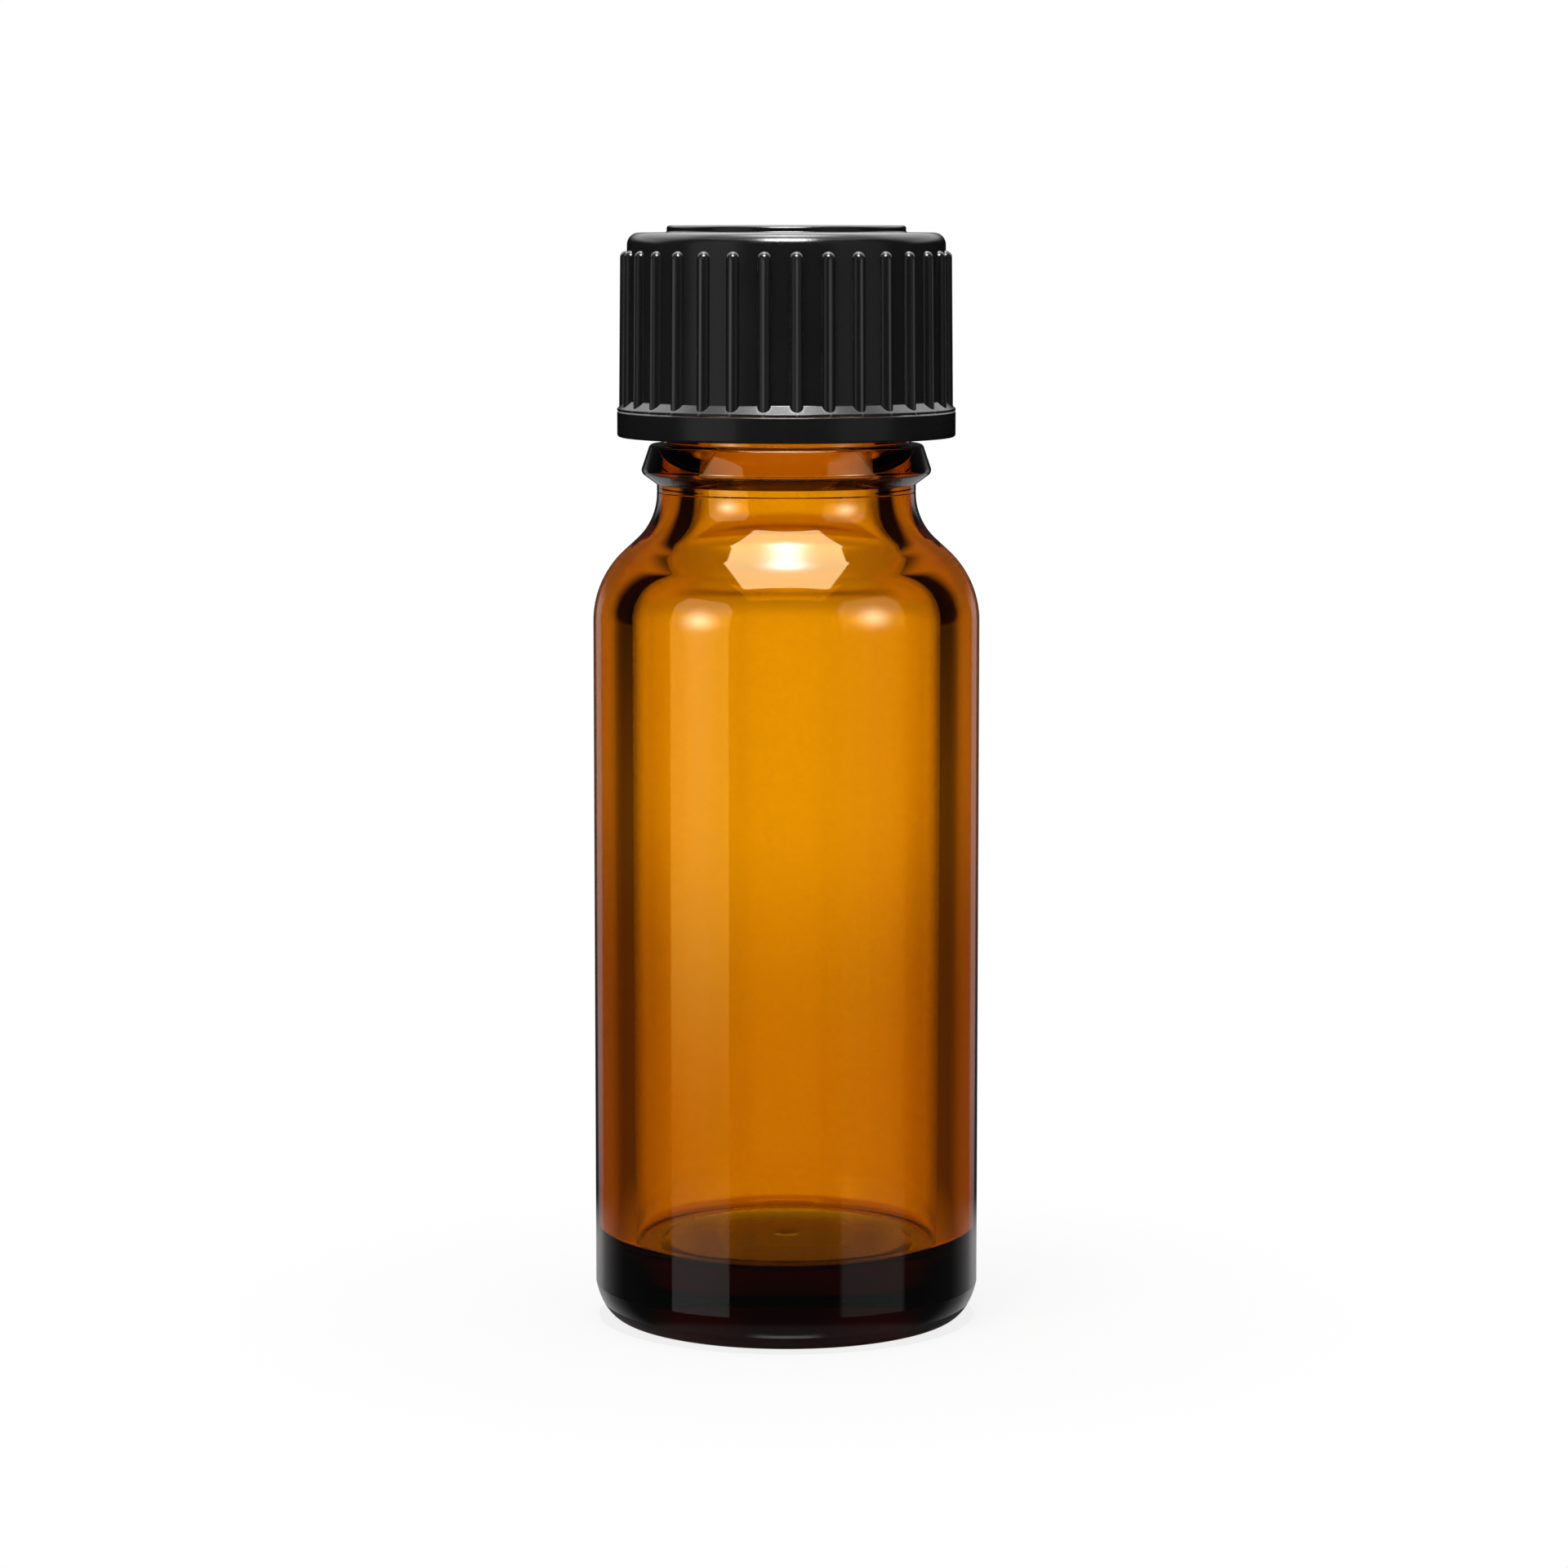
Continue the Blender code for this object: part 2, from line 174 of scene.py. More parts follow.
def windThread(name, root, crest, height, startAngle):
    # A trapezoid wound up the axis by a Screw modifier, sunk a little into the wall it stands on
    half = thread["crestWidth"] / 2
    wide = half + abs(crest - root) * tan(radians(thread["flank"]))
    corners = [
        (root, -wide),
        (crest, -half, thread["crestRound"]),
        (crest, half, thread["crestRound"]),
        (root, wide),
    ]
    ridge = drawOutline(name, [(c[0], c[1] + height, *c[2:]) for c in corners], closed=True)
    closeMesh()
    activate(ridge)
    winding = ridge.modifiers.new("winding", "SCREW")
    winding.axis = "Z"
    winding.angle = 2 * pi * thread["turns"]
    winding.screw_offset = thread["pitch"] * thread["turns"] * mm
    winding.steps = winding.render_steps = round(thread["stepsPerTurn"] * thread["turns"])
    bpy.ops.object.modifier_apply(modifier=winding.name)
    openMesh(ridge)
    total = 360 * thread["turns"]
    mesh = bmesh.from_edit_mesh(ridge.data)
    for vert in mesh.verts:
        # The ridge sinks to nothing at each end
        along = windingAngle(vert.co, height)
        share = max(0, min(1, along / thread["runout"], (total - along) / thread["runout"]))
        radius = vert.co.xy.length
        vert.co.xy *= (root * mm + (radius - root * mm) * share) / radius
    bmesh.update_edit_mesh(ridge.data)
    pick(ridge, lambda edge: len(edge.link_faces) == 1, "EDGE")
    bpy.ops.mesh.edge_face_add()
    bpy.ops.mesh.select_all(action="SELECT")
    bpy.ops.transform.rotate(value=-radians(startAngle), orient_axis="Z", center_override=(0, 0, 0))
    bpy.ops.mesh.normals_make_consistent(inside=False)
    closeMesh()
    return ridge


def windingAngle(place, height):
    # How far along the winding a vertex lies, in degrees
    turned = atan2(place.y, place.x) % (2 * pi)
    whole = (place.z / mm - height) / thread["pitch"] - turned / (2 * pi)
    return 360 * (round(whole) + turned / (2 * pi))


# Amber glass bottle
glass = {
    "steps": 256,
    "wall": 2.6,
    "sideTop": 47.5,
    "shoulder": 6.4,
    "neckFillet": 4.2,
    "slope": 47.5,  # degrees from upright
    "bore": 6.0,
    "neckWall": 2.7,
    "neckStraight": 0.59,
    "partingLine": 0.03,
    "partingRise": 0.1,
    "partingHalf": 0.05,
    "foot": 11.1,
    "footWidth": 2.3,
    "pushUp": 0.9,
    "heelHeight": 2.4,
    "heelStart": 20,  # degrees of its curve left out at the side
    "floor": 5.2,
    "floorCrown": 0.3,
    "floorCorner": 1.5,
    "padRadius": 8.2,
    "padRise": 0.18,
    "padEdge": 0.5,
    "padGutter": 0.06,
    "dimpleRadius": 1.1,
    "dimpleDepth": 0.12,
    "ringProud": 1.1,
    "ringHeight": 2.66,
    "ringTaper": 0.63,
    "ringUndercut": 0.8,
    "grooveWall": 2.36,
    "grooveHeight": 1.36,
    "beadProud": 0.4,
    "beadHeight": 1.8,
    "finishWall": 1.75,
    "threadDepth": 1.1,
    "threadDrop": 2.1,
    "rimRound": 0.6,
}


def shoulderCurve(body, neck, shoulder, fillet):
    # Up from the straight side: a curve out, a straight slope, and a curve into the neck
    slope = glass["slope"]
    bends = shoulder + fillet
    straight = (body - neck - bends * (1 - cos(radians(slope)))) / sin(radians(slope))
    rise = bends * sin(radians(slope)) + straight * cos(radians(slope))
    lower = curve((body - shoulder, glass["sideTop"]), (shoulder, shoulder), 0, slope, 26)
    upper = curve((neck + fillet, glass["sideTop"] + rise), (fillet, fillet), 180 + slope, 180, 20)
    return lower + upper


def makeBottle():
    g = glass
    body, foot, rim = span("glass_bottle")
    neck = g["bore"] + g["neckWall"]
    root = g["bore"] + g["finishWall"]
    crest = root + g["threadDepth"]
    bead = crest + g["beadProud"]
    groove = g["bore"] + g["grooveWall"]
    outside = shoulderCurve(body, neck, g["shoulder"], g["neckFillet"])
    ringFoot = outside[-1][1] + g["neckStraight"]
    ringTop = ringFoot + g["ringHeight"]
    beadFoot = ringTop + g["grooveHeight"]
    beadTop = beadFoot + g["beadHeight"]

    # Underside: a shallow dome, the flat ring that the bottle stands on, and the heel
    inner = g["foot"] - g["footWidth"]
    domeRadius = (inner**2 + g["pushUp"] ** 2) / (2 * g["pushUp"])
    lean = asin(inner / domeRadius) * 180 / pi
    underside = curve((0, foot + g["pushUp"] - domeRadius), (domeRadius, domeRadius), 90, 90 - lean, 12)
    heelRise = g["heelHeight"] / (1 - sin(radians(g["heelStart"])))
    heelWide = (body - g["foot"]) / cos(radians(g["heelStart"]))
    heel = curve((g["foot"], foot + heelRise), (heelWide, heelRise), -90, -g["heelStart"], 18)
    underside[-1] = (*underside[-1], 0.15)

    # Outside, up to the ring: two extra rings keep the shading of the straight side straight
    sideEnd = g["sideTop"] - 0.4
    side = [(body, foot + g["heelHeight"] + 0.3), (body, sideEnd)]
    seam = outside[-1][1] + g["partingRise"]
    half = g["partingHalf"]
    line = [(neck, seam - half), (neck - g["partingLine"], seam), (neck, seam + half)]
    ring = [
        (neck, ringFoot - 0.05),
        (neck, ringFoot, 0.12),
        (neck + g["ringProud"], ringFoot + g["ringUndercut"], 0.4),
        (neck + g["ringProud"] - g["ringTaper"], ringTop, 0.28),
        (groove, ringTop + 0.12, 0.12),
        (groove, beadFoot, 0.15),
        (bead, beadFoot + 0.3, 0.25),
        (bead, beadTop - (bead - root) / 2, 0.25),
        (root, beadTop, 0.2),
        (root, rim, g["rimRound"]),
        (g["bore"], rim, g["rimRound"]),
    ]

    # Inside, from the rim down to the middle of the floor
    hollow = body - g["wall"]
    inside = shoulderCurve(hollow, g["bore"], g["shoulder"] - g["wall"], g["neckFillet"] + g["wall"])
    dimple = [(g["dimpleRadius"] * share, cos(pi * share)) for share in (1, 0.8, 0.6, 0.4, 0.2, 0)]
    floorTop = g["floor"] + g["floorCrown"]
    floor = [
        (hollow, sideEnd),
        (hollow, g["floor"], g["floorCorner"]),
        (g["padRadius"] + g["padEdge"], g["floor"] - g["padGutter"], 0.3),
        (g["padRadius"], g["floor"] + g["padRise"], 0.3),
        *[(r, floorTop - g["dimpleDepth"] * (1 + bend) / 2) for r, bend in dimple],
    ]

    bottle = drawOutline(
        "amberBottle", underside + heel + side + outside + line + ring + inside[::-1] + floor
    )
    turn(bottle, g["steps"])
    start = rim - g["threadDrop"] - thread["turns"] * thread["pitch"]
    ridge = windThread("bottleThread", root - g["threadDepth"] / 3, crest, start, 0)
    combine(bottle, ridge, "UNION")
    smooth(bottle)

    # The heel meets the side in a crease that shading keeps
    openMesh(bottle)
    heelTop = (foot + g["heelHeight"]) * mm
    pick(bottle, lambda edge: all(abs(vert.co.z - heelTop) < tiny * mm for vert in edge.verts), "EDGE")
    bpy.ops.mesh.mark_sharp()
    closeMesh()
    return bottle


# Screw cap
cap = {
    "steps": 256,
    "draft": 0.1,
    "shadingRing": 2.2,
    "top": 1.32,
    "crownRound": 0.8,
    "discRadius": 8.0,
    "discHeight": 0.47,
    "discRound": 0.2,
    "discBorder": 0.6,  # where a ring on either side of its edge keeps the shading flat
    "ledgeProud": 0.6,
    "ledgeRise": 0.53,
    "ledgeLand": 0.15,
    "footBore": 9.5,
    "threadBore": 9.15,
    "lipRoom": 0.88,
    "threadCrest": 8.05,
    "threadRoom": 0.4,
    "threadSink": 0.3,
    "threadStart": 82.9,  # degrees, which lays the ridge between those of the glass
    "sealBore": 1.95,
    "sealWall": 0.65,
    "sealDepth": 1.6,
    "ribs": 32,
    "ribRadius": 0.45,
    "ribProud": 0.47,
    "ribDrop": 1.2,
    "ribPhase": -86.5,  # degrees at which the first rib stands
    "ribSides": 24,
    "ribDome": 0.98,  # share of the top that is domed
}


def makeRibs(wall, foot, crown):
    # One rib with a domed top, leaning with the draft of the wall, then its copies all round
    c = cap
    top = crown - c["ribDrop"]
    centre = wall + c["ribProud"] - c["ribRadius"]
    bpy.ops.object.select_all(action="DESELECT")
    bpy.ops.mesh.primitive_cylinder_add(
        vertices=c["ribSides"],
        radius=c["ribRadius"] * mm,
        depth=(top - foot) * mm,
        location=(centre * mm, 0, (top + foot) / 2 * mm),
    )
    ribs = bpy.context.object
    ribs.name = ribs.data.name = "gripRibs"
    bpy.ops.object.transform_apply(location=True, rotation=False, scale=False)
    openMesh(ribs)
    pick(ribs, lambda edge: all(vert.co.z > (top - tiny) * mm for vert in edge.verts), "EDGE")
    bpy.ops.mesh.bevel(offset=c["ribRadius"] * c["ribDome"] * mm, segments=8)
    pick(ribs, lambda vert: vert.co.z < (foot + tiny) * mm)
    bpy.ops.transform.translate(value=(c["draft"] * mm, 0, 0))
    bpy.ops.mesh.select_all(action="SELECT")
    bpy.ops.transform.rotate(value=-radians(c["ribPhase"]), orient_axis="Z", center_override=(0, 0, 0))
    pitch = 2 * pi / c["ribs"]
    bpy.ops.mesh.spin(
        dupli=True, steps=c["ribs"] - 1, angle=2 * pi - pitch, center=(0, 0, 0), axis=(0, 0, 1)
    )
    bpy.ops.mesh.select_all(action="SELECT")
    bpy.ops.mesh.normals_make_consistent(inside=False)
    closeMesh()
    return ribs


def makeCap():
    c = cap
    ledge, foot, top = span("screw_cap")
    crown = top - c["discHeight"]
    underside = crown - c["top"]
    wall = ledge - c["ledgeProud"] - c["draft"]
    lipTop = foot + c["lipRoom"]
    threadStart = lipTop + c["footBore"] - c["threadBore"]
    sealFoot = underside - c["sealDepth"]
    outline = [
        (0, top),
        (c["discRadius"] - c["discBorder"], top),
        (c["discRadius"], top, c["discRound"]),
        (c["discRadius"], crown, 0.15),
        (c["discRadius"] + c["discBorder"], crown),
        (wall, crown, c["crownRound"]),
        (wall + c["draft"] / 5, crown - c["shadingRing"]),
        (wall + c["draft"], foot + c["ledgeLand"] + c["ledgeRise"], 0.12),
        (ledge, foot + c["ledgeLand"], 0.06),
        (ledge, foot, 0.04),
        (c["footBore"], foot, 0.04),
        (c["footBore"], lipTop),
        (c["threadBore"], threadStart),
        (c["threadBore"], underside, 0.4),
        (c["sealBore"] + c["sealWall"], underside, 0.1),
        (c["sealBore"] + c["sealWall"], sealFoot, 0.15),
        (c["sealBore"], sealFoot, 0.25),
        (c["sealBore"], underside, 0.1),
        (0, underside),
    ]
    made = drawOutline("ribbedCap", outline)
    turn(made, c["steps"])
    combine(made, makeRibs(wall, foot + c["ledgeLand"] / 2, crown), "UNION")
    height = threadStart + thread["crestWidth"] / 2 + c["threadRoom"]
    root = c["threadBore"] + c["threadSink"]
    ridge = windThread("capThread", root, c["threadCrest"], height, c["threadStart"])
    combine(made, ridge, "UNION")
    smooth(made)
    return made


# Tamper band under the cap
band = {
    "steps": 256,
    "edgeRound": 0.2,
    "topRound": 0.05,
    "lift": 0.03,
    "bore": 9.5,
    "lipBore": 8.66,
    "lipRise": 0.53,
    "bridges": 10,
    "bridgeWide": 0.7,
    "bridgeDeep": 0.6,
    "bridgeHigh": 0.06,
    "bridgeRound": 0.015,
}


def makeBand():
    b = band
    radius, foot, top = span("tamper_band")
    top += b["lift"]
    lipTop = foot + b["lipRise"]
    outline = [
        (b["bore"], top, 0.04),
        (radius, top, b["topRound"]),
        (radius, foot, b["edgeRound"]),
        (b["lipBore"] + 0.3, foot, 0.08),
        (b["lipBore"], (foot + lipTop) / 2, 0.05),
        (b["lipBore"], lipTop, 0.08),
        (b["bore"], lipTop + 0.3, 0.1),
    ]
    made = drawOutline("tamperRing", outline, closed=True)
    turn(made, b["steps"])

    # Stubs of the bridges that joined it to the cap
    bpy.ops.object.select_all(action="DESELECT")
    bpy.ops.mesh.primitive_cube_add(
        size=1,
        scale=(b["bridgeDeep"] * mm, b["bridgeWide"] * mm, b["bridgeHigh"] * mm),
        location=((b["bore"] + radius) / 2 * mm, 0, top * mm),
    )
    stubs = bpy.context.object
    bpy.ops.object.transform_apply(location=True, rotation=False, scale=True)
    openMesh(stubs)
    pick(stubs, lambda edge: all(vert.co.z > top * mm for vert in edge.verts), "EDGE")
    bpy.ops.mesh.bevel(offset=b["bridgeRound"] * mm, segments=2)
    bpy.ops.mesh.select_all(action="SELECT")
    step = 2 * pi / b["bridges"]
    bpy.ops.mesh.spin(
        dupli=True, steps=b["bridges"] - 1, angle=2 * pi - step, center=(0, 0, 0), axis=(0, 0, 1)
    )
    closeMesh()
    combine(made, stubs, "UNION")
    smooth(made)
    return made


# Dropper insert
plug = {
    "steps": 128,
    "flange": 0.8,
    "stem": 5.9,
    "stemLength": 7.5,
    "wall": 0.8,
    "cup": 2.4,
    "nozzle": 1.7,
    "dripHole": 0.6,
    "tubeRadius": 0.9,
    "tubeHole": 0.4,
    "tubeOffset": 3.3,
    "tubeRound": 0.12,
    "tubeSides": 48,
    "lead": 0.4,
    "neckIn": 0.3,
    "neckLength": 0.6,
}


def makeRod(name, radius, foot, top):
    bpy.ops.object.select_all(action="DESELECT")
    bpy.ops.mesh.primitive_cylinder_add(
        vertices=plug["tubeSides"],
        radius=radius * mm,
        depth=(top - foot) * mm,
        location=(plug["tubeOffset"] * mm, 0, (top + foot) / 2 * mm),
    )
    rod = bpy.context.object
    rod.name = name
    bpy.ops.object.transform_apply(location=True, rotation=False, scale=False)
    return rod


def makePlug():
    p = plug
    flangeRadius, tubeFoot, top = span("dropper_insert")
    flangeFoot = top - p["flange"]
    rim = span("glass_bottle")[2]
    stemFoot = rim - p["stemLength"]
    neckFoot = rim - p["neckLength"]
    bore = p["stem"] - p["wall"]
    floorTop = top - p["cup"]
    floorFoot = floorTop - p["wall"]
    outline = [
        (p["dripHole"], floorFoot, 0.1),
        (p["dripHole"], top, 0.2),
        (p["nozzle"], top, 0.35),
        (p["nozzle"], floorTop, 0.3),
        (bore, floorTop, 0.3),
        (bore, top, 0.25),
        (flangeRadius, top, 0.25),
        (flangeRadius, flangeFoot, 0.1),
        (p["stem"] - p["neckIn"], flangeFoot, 0.1),
        (p["stem"] - p["neckIn"], neckFoot, 0.1),
        (p["stem"], neckFoot - p["neckLength"], 0.2),
        (p["stem"], stemFoot + p["wall"], 0.4),
        (p["stem"] - p["lead"], stemFoot, 0.1),
        (bore, stemFoot, 0.1),
        (bore, floorFoot, 0.3),
    ]
    made = drawOutline("dropperPlug", outline, closed=True)
    turn(made, p["steps"])
    tube = makeRod("airTube", p["tubeRadius"], tubeFoot, floorTop - p["wall"] / 2)
    openMesh(tube)
    pick(tube, lambda edge: all(vert.co.z < (tubeFoot + tiny) * mm for vert in edge.verts), "EDGE")
    bpy.ops.mesh.bevel(offset=p["tubeRound"] * mm, segments=3)
    closeMesh()
    combine(made, tube, "UNION")
    combine(made, makeRod("airHole", p["tubeHole"], tubeFoot - 1, top), "DIFFERENCE")
    smooth(made)
    return made


# Node helpers
def node(tree, kind, x, y, **settings):
    made = tree.nodes.new(kind)
    made.location = (x, y)
    for name, value in settings.items():
        setattr(made, name, value)
    return made


def feed(tree, target, value):
    # A socket is linked, anything else is set
    if isinstance(value, bpy.types.NodeSocket):
        tree.links.new(value, target)
    elif value is not None:
        target.default_value = value


def calc(tree, operation, *values):
    made = node(tree, "ShaderNodeMath", 0, 0, operation=operation)
    for target, value in zip(made.inputs, values):
        feed(tree, target, value)
    return made.outputs[0]


def ease(tree, value, start, end, low=0.0, high=1.0):
    # A smooth step from low at start to high at end
    made = node(tree, "ShaderNodeMapRange", 0, 0, interpolation_type="SMOOTHSTEP")
    for target, given in zip(made.inputs, (value, start, end, low, high)):
        feed(tree, target, given)
    return made.outputs[0]


def mixColours(tree, share, first, second):
    made = node(tree, "ShaderNodeMixRGB", 0, 300)
    for target, given in zip(made.inputs, (share, first, second)):
        feed(tree, target, given)
    return made.outputs[0]


def joinColour(tree, red, green, blue):
    made = node(tree, "ShaderNodeCombineColor", -500, 0)
    for target, given in zip(made.inputs, (red, green, blue)):
        feed(tree, target, given)
    return made.outputs[0]


def newGroup(name, inputs, outputs):
    group = bpy.data.node_groups.new(name, "ShaderNodeTree")
    for label, kind, value in inputs:
        socket = group.interface.new_socket(name=label, in_out="INPUT", socket_type=kind)
        if value is not None:
            socket.default_value = value
    for label, kind in outputs:
        group.interface.new_socket(name=label, in_out="OUTPUT", socket_type=kind)
    return group, node(group, "NodeGroupInput", -900, 0), node(group, "NodeGroupOutput", 600, 0)


def newMaterial(name):
    made = bpy.data.materials.new(name)
    made.use_nodes = True
    tree = made.node_tree
    shader = tree.nodes["Principled BSDF"]
    where = node(tree, "ShaderNodeTexCoord", -1100, 0).outputs["Object"]
    return made, tree, shader, where


# Surface that a mould leaves on plastic: fine grain, and slow drifts of tone and gloss
def makeMouldGrain():
    group, given, result = newGroup(
        "mouldGrain",
        [
            ("Vector", "NodeSocketVector", None),
            ("Colour", "NodeSocketColor", (0.5, 0.5, 0.5, 1)),
            ("Tone", "NodeSocketFloat", 0.1),
            ("Roughness", "NodeSocketFloat", 0.3),
            ("Gloss Drift", "NodeSocketFloat", 0.05),
            ("Grain Scale", "NodeSocketFloat", 9000.0),
            ("Drift Scale", "NodeSocketFloat", 260.0),
        ],
        [("Colour", "NodeSocketColor"), ("Roughness", "NodeSocketFloat"), ("Height", "NodeSocketFloat")],
    )
    drift = node(group, "ShaderNodeTexNoise", -600, 200)
    drift.inputs["Detail"].default_value = 3
    grain = node(group, "ShaderNodeTexNoise", -600, -200)
    grain.inputs["Detail"].default_value = 2
    feed(group, drift.inputs["Vector"], given.outputs["Vector"])
    feed(group, grain.inputs["Vector"], given.outputs["Vector"])
    feed(group, drift.inputs["Scale"], given.outputs["Drift Scale"])
    feed(group, grain.inputs["Scale"], given.outputs["Grain Scale"])
    swing = calc(group, "SUBTRACT", drift.outputs[0], 0.5)
    brightness = calc(group, "MULTIPLY_ADD", swing, given.outputs["Tone"], 1.0)
    shade = node(group, "ShaderNodeVectorMath", 0, 200, operation="SCALE")
    feed(group, shade.inputs[0], given.outputs["Colour"])
    feed(group, shade.inputs["Scale"], brightness)
    feed(group, result.inputs["Colour"], shade.outputs[0])
    gloss = calc(group, "MULTIPLY_ADD", swing, given.outputs["Gloss Drift"], given.outputs["Roughness"])
    feed(group, result.inputs["Roughness"], gloss)
    feed(group, result.inputs["Height"], grain.outputs[0])
    return group


mouldGrain = makeMouldGrain()

plastics = {
    "capBlack": {
        "Colour": (0.009, 0.009, 0.0094, 1),
        "Tone": 0.25,
        "Roughness": 0.2,
        "Gloss Drift": 0.08,
        "Grain Scale": 7000.0,
        "Drift Scale": 300.0,
        "grain": 0.004,
        "specular": 0.5,
    },
    "bandBlack": {
        "Colour": (0.0075, 0.0075, 0.008, 1),
        "Tone": 0.25,
        "Roughness": 0.22,
        "Gloss Drift": 0.08,
        "Grain Scale": 5000.0,
        "Drift Scale": 300.0,
        "grain": 0.008,
        "specular": 0.5,
    },
    "milkyPlastic": {
        "Colour": (0.82, 0.83, 0.8, 1),
        "Tone": 0.04,
        "Roughness": 0.38,
        "Gloss Drift": 0.1,
        "Grain Scale": 4000.0,
        "Drift Scale": 400.0,
        "grain": 0.008,
        "specular": 0.5,
    },
}


# Painted highlight along the tip of each rib, a paler line: half its width in degrees, and where it starts
# and ends
paintedTipHighlight = {
    "core": 0.1,
    "edge": 0.7,
    "radius": 10.3,
    "end": 0.3,
    "fade": 0.3,
    "colour": (0.05, 0.05, 0.051, 1),
}


def makePaintedTipHighlight(tree, where, colour):
    # Paints the tips of the ribs paler, a painted highlight where they would catch the light
    w = paintedTipHighlight
    split = node(tree, "ShaderNodeSeparateXYZ", -900, 400)
    feed(tree, split.inputs[0], where)
    across, along, up = split.outputs
    squares = (calc(tree, "POWER", side, 2.0) for side in (across, along))
    radius = calc(tree, "SQRT", calc(tree, "ADD", *squares))
    angle = calc(tree, "MULTIPLY", calc(tree, "ARCTAN2", along, across), 180 / pi)
    pitch = 360 / cap["ribs"]
    first = 0.5 - cap["ribPhase"] / pitch + cap["ribs"]
    place = calc(tree, "FRACT", calc(tree, "MULTIPLY_ADD", angle, 1 / pitch, first))
    offset = calc(tree, "ABSOLUTE", calc(tree, "SUBTRACT", place, 0.5))
    line = ease(tree, offset, w["core"] / pitch, w["edge"] / pitch, 1, 0)
    line = calc(tree, "MULTIPLY", line, calc(tree, "GREATER_THAN", radius, w["radius"] * mm))
    end = span("screw_cap")[2] - cap["discHeight"] - cap["ribDrop"] - w["end"]
    below = ease(tree, up, (end - w["fade"]) * mm, end * mm, 1, 0)
    return mixColours(tree, calc(tree, "MULTIPLY", line, below), colour, w["colour"])


def makePlastic(name):
    made, tree, shader, where = newMaterial(name)
    finish = node(tree, "ShaderNodeGroup", -700, 0, node_tree=mouldGrain)
    feed(tree, finish.inputs["Vector"], where)
    for label, value in plastics[name].items():
        if label in finish.inputs:
            finish.inputs[label].default_value = value
    bump = node(tree, "ShaderNodeBump", -350, -200)
    bump.inputs["Distance"].default_value = plastics[name]["grain"] * mm
    shader.inputs["Specular IOR Level"].default_value = plastics[name]["specular"]
    feed(tree, bump.inputs["Height"], finish.outputs["Height"])
    colour = finish.outputs["Colour"]
    # The cap's ribs get the painted highlight line on their tips
    if name == "capBlack":
        colour = makePaintedTipHighlight(tree, where, colour)
    feed(tree, shader.inputs["Base Color"], colour)
    feed(tree, shader.inputs["Roughness"], finish.outputs["Roughness"])
    feed(tree, shader.inputs["Normal"], bump.outputs["Normal"])
    return made


# Amber glass, coloured through its thickness
amber = {
    "absorb": (0.86, 0.737, 0.0, 1),
    "density": 1600.0,
    "ior": 1.52,
    "roughness": 0.0,
    "rippleScale": (160.0, 160.0, 60.0),
    "ripple": 0.004,
}


def makeAmber():
    made, tree, shader, where = newMaterial("amberGlass")
    shader.inputs["Base Color"].default_value = (1, 1, 1, 1)
    shader.inputs["Roughness"].default_value = amber["roughness"]
    shader.inputs["IOR"].default_value = amber["ior"]
    shader.inputs["Transmission Weight"].default_value = 1
    stretch = node(tree, "ShaderNodeMapping", -850, -200)
    stretch.inputs["Scale"].default_value = amber["rippleScale"]
    feed(tree, stretch.inputs["Vector"], where)
    ripple = node(tree, "ShaderNodeTexNoise", -600, -200)
    ripple.inputs["Scale"].default_value = 1
    ripple.inputs["Detail"].default_value = 1
    feed(tree, ripple.inputs["Vector"], stretch.outputs[0])
    bump = node(tree, "ShaderNodeBump", -350, -200)
    bump.inputs["Distance"].default_value = amber["ripple"] * mm
    feed(tree, bump.inputs["Height"], ripple.outputs[0])
    feed(tree, shader.inputs["Normal"], bump.outputs["Normal"])
    absorb = node(tree, "ShaderNodeVolumeAbsorption", 0, -400)
    absorb.inputs["Color"].default_value = amber["absorb"]
    absorb.inputs["Density"].default_value = amber["density"]
    feed(tree, tree.nodes["Material Output"].inputs["Volume"], absorb.outputs[0])
    return made


print("modelling the pieces")
dress(makeBottle(), "bottle", "glass_bottle", makeAmber())
dress(makePlug(), "bottle", "dropper_insert", makePlastic("milkyPlastic"))
dress(makeBand(), "band", "tamper_band", makePlastic("bandBlack"))
dress(makeCap(), "cap", "screw_cap", makePlastic("capBlack"))
for name in ("tamperRing", "ribbedCap"):
    bpy.data.objects[name].visible_glossy = False  # so that they don't block the light on the shoulder


# Studio: directions are degrees from the camera's side, positive to the right, and above the horizon.
# Each step of the backlight is (start, end, share at the start, share at the end), over the height
studio = {
    "plain": 0.75,
    "dark": 0.01,
    "tableGlow": 0.11,
    "tableTop": (-50, -40),
    "sheen": 0.45,
    "sheenFar": 0.03,
    "sheenTurn": (20, 66),
    "sheenRise": (-11.9, -11.3, 1, 0.04),
    "backlight": 2.65,
    "levelSteps": ((-5, 4, 1, 0.66), (-11, -7.5, 0.74, 1.03), (-50, -28, 0.6757, 1), (-24, -16, 0.7, 1)),
    "greenSteps": ((-12.5, -7.5, 0.76, 1), (-24, -16, 0.8, 1), (5, 10, 1, 0.85)),
    "flanks": (6, 15, 0.55, 1.2),
    "flankRise": (6, 11),
    "edgeStarts": ((-11, -6, 4, 13), (-2, 4, 0, 9)),
    "edgeEnd": (-4, 2, 46, 39),
    "edgeRest": (-10, -2, 0.2, 0.01),
    "sideWalls": ((58, 74, 0, 1), (106, 122, 1, 0)),
    "frontWall": (140, 160),
    "tableWall": (-20, -14, 1, 0),
}
